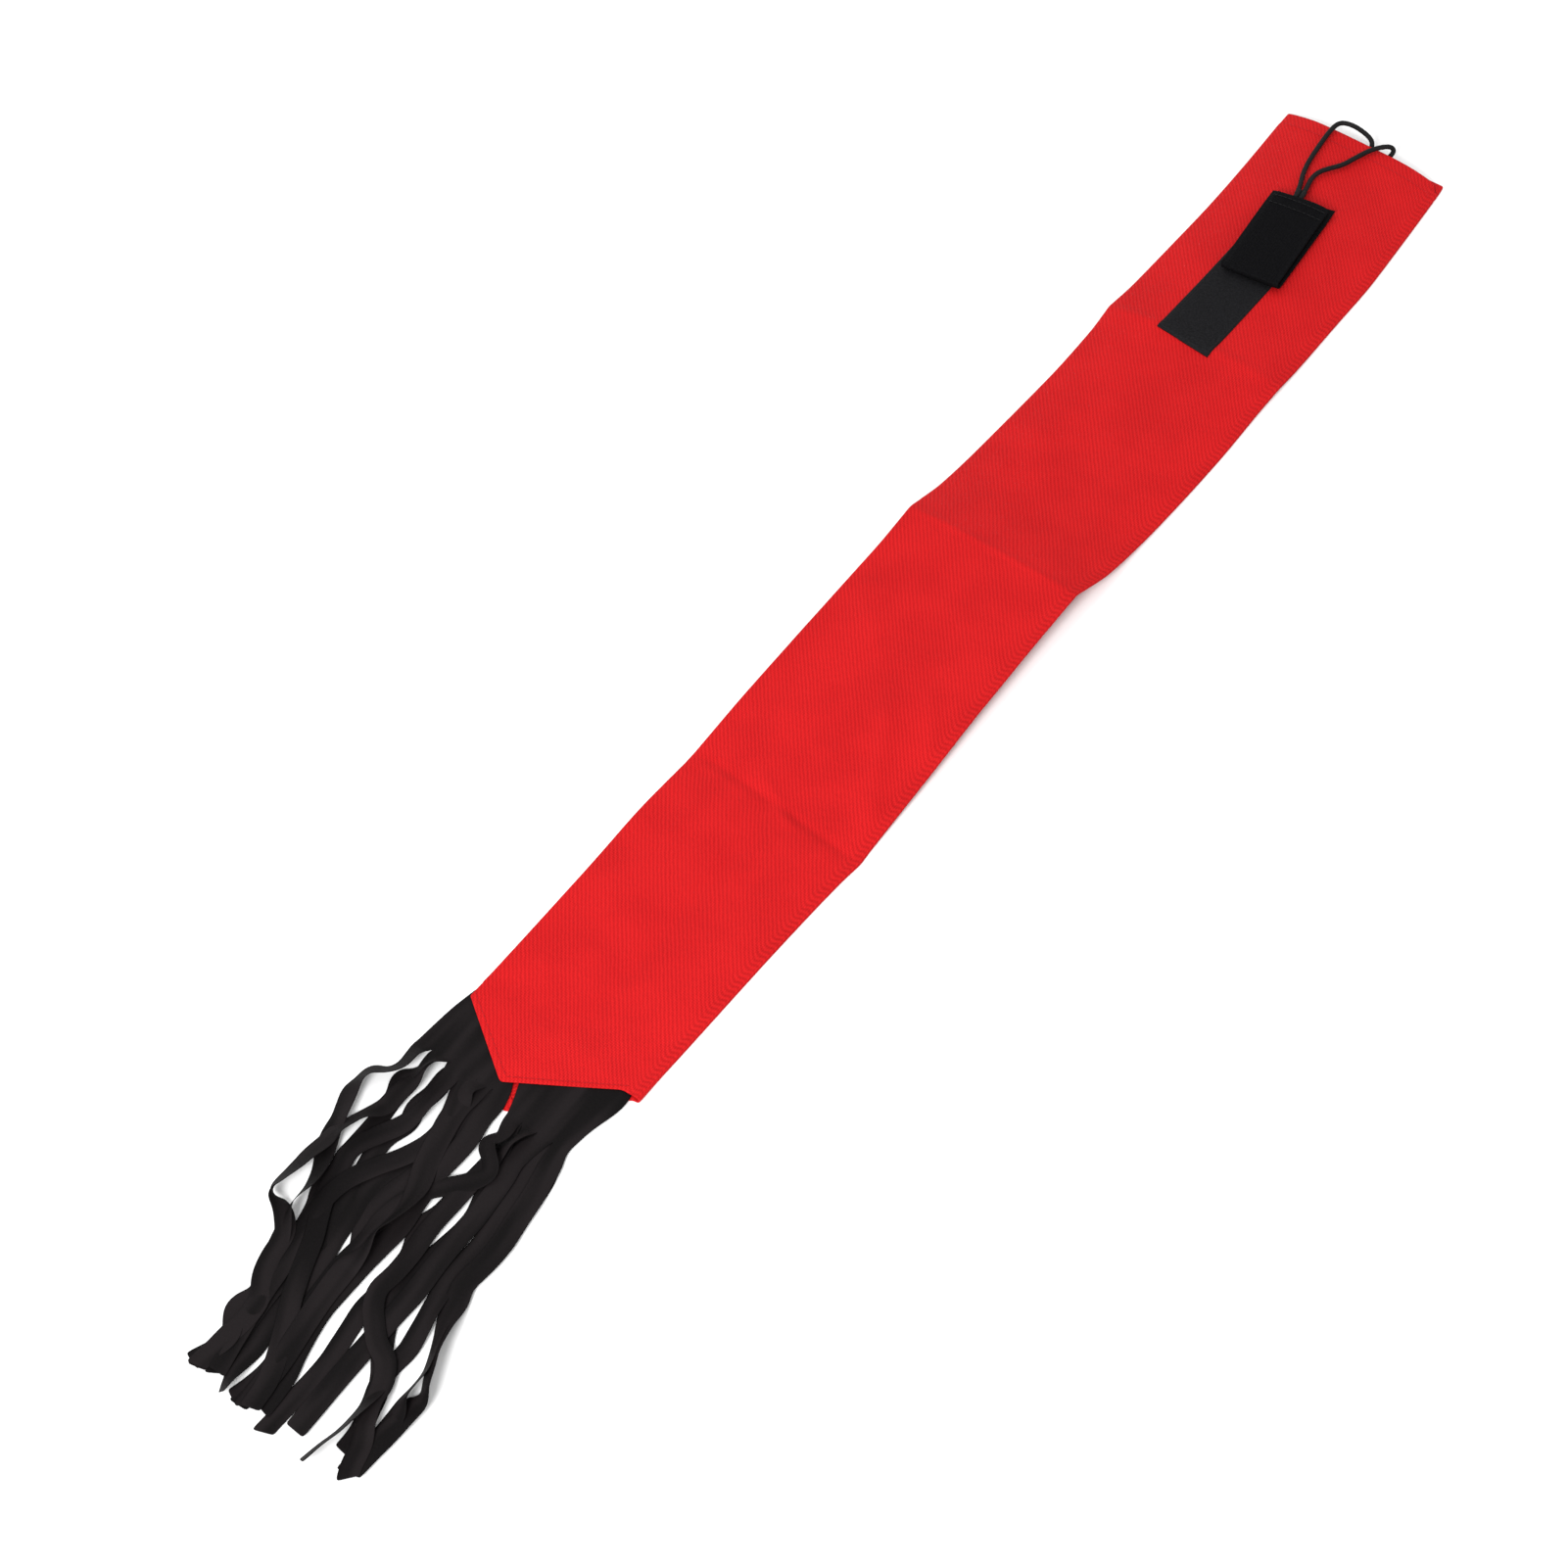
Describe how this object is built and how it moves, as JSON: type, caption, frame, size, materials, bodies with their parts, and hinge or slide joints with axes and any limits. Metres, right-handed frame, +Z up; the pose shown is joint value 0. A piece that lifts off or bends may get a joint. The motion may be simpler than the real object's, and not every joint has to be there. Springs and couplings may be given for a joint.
{
  "type": "tail bag",
  "caption": "Long flat fabric sleeve with an open mouth, a pointed end carrying a cut-strip fringe, and a folded hook-and-loop tab on an elastic cord that closes over the mouth.",
  "frame": {"origin": "centre of the underside of the whole bag, fringe included, as it lies on a flat surface", "axes": "+Y along the bag towards its mouth, +X across its width, +Z up from the surface through the front cloth"},
  "size_m": [0.1554, 1.07, 0.0176],
  "materials": {
    "sleeve_cloth": "woven oxford polyester, slight sheen",
    "fringe_cloth": "thin plain-woven polyester, cut strips",
    "loop_tape": "brushed loop pile with woven selvedges",
    "hook_tape": "ribbed woven tape with hooks on its inner face",
    "anchor_tape": "plain woven webbing",
    "elastic_cord": "braided textile cover over rubber",
    "red_thread": "polyester sewing thread",
    "black_thread": "polyester sewing thread"
  },
  "bodies": {
    "root": {"front_cloth": "sleeve_cloth", "back_cloth": "sleeve_cloth", "side_seam_thread": "red_thread", "front_hem_thread": "red_thread", "left_point_topstitching": "red_thread", "right_point_topstitching": "red_thread", "loop_base_strip": "loop_tape", "base_strip_thread": "black_thread", "fringe_header_front_left": "fringe_cloth", "fringe_header_front_right": "fringe_cloth", "fringe_header_back_left": "fringe_cloth", "fringe_header_back_right": "fringe_cloth", "cord_anchor_tape": "anchor_tape", "anchor_bar_tacks": "black_thread", "cord_inner_left": "elastic_cord", "cord_inner_right": "elastic_cord"},
    "closure_cord": {"cord_outer_left": "elastic_cord", "cord_outer_right": "elastic_cord"},
    "closure_tab": {"hook_closure_tab": "hook_tape", "tab_thread": "black_thread", "sewn_cord_ends": "elastic_cord"},
    "fringe_front": {"fringe_strips_front_left": "fringe_cloth", "fringe_strips_front_right": "fringe_cloth"},
    "fringe_back": {"fringe_strips_back_left": "fringe_cloth", "fringe_strips_back_right": "fringe_cloth"}
  },
  "joints": [
    {"name": "closure_swing", "type": "hinge", "parent": "root", "child": "closure_cord", "pos_m": [-0.00206, 0.53534, 0.0056], "axis": [-1, 0, 0], "range_deg": [0, 110]},
    {"name": "tab_peel", "type": "hinge", "parent": "closure_cord", "child": "closure_tab", "pos_m": [-0.00206, 0.46594, 0.0117], "axis": [-1, 0, 0], "range_deg": [0, 90]},
    {"name": "fringe_front_swing", "type": "hinge", "parent": "root", "child": "fringe_front", "pos_m": [-0.00206, -0.32186, 0.00112], "axis": [-1, 0, 0], "range_deg": [0, 90]},
    {"name": "fringe_back_swing", "type": "hinge", "parent": "root", "child": "fringe_back", "pos_m": [-0.00206, -0.32186, 0.00022], "axis": [-1, 0, 0], "range_deg": [-90, 0]}
  ]
}
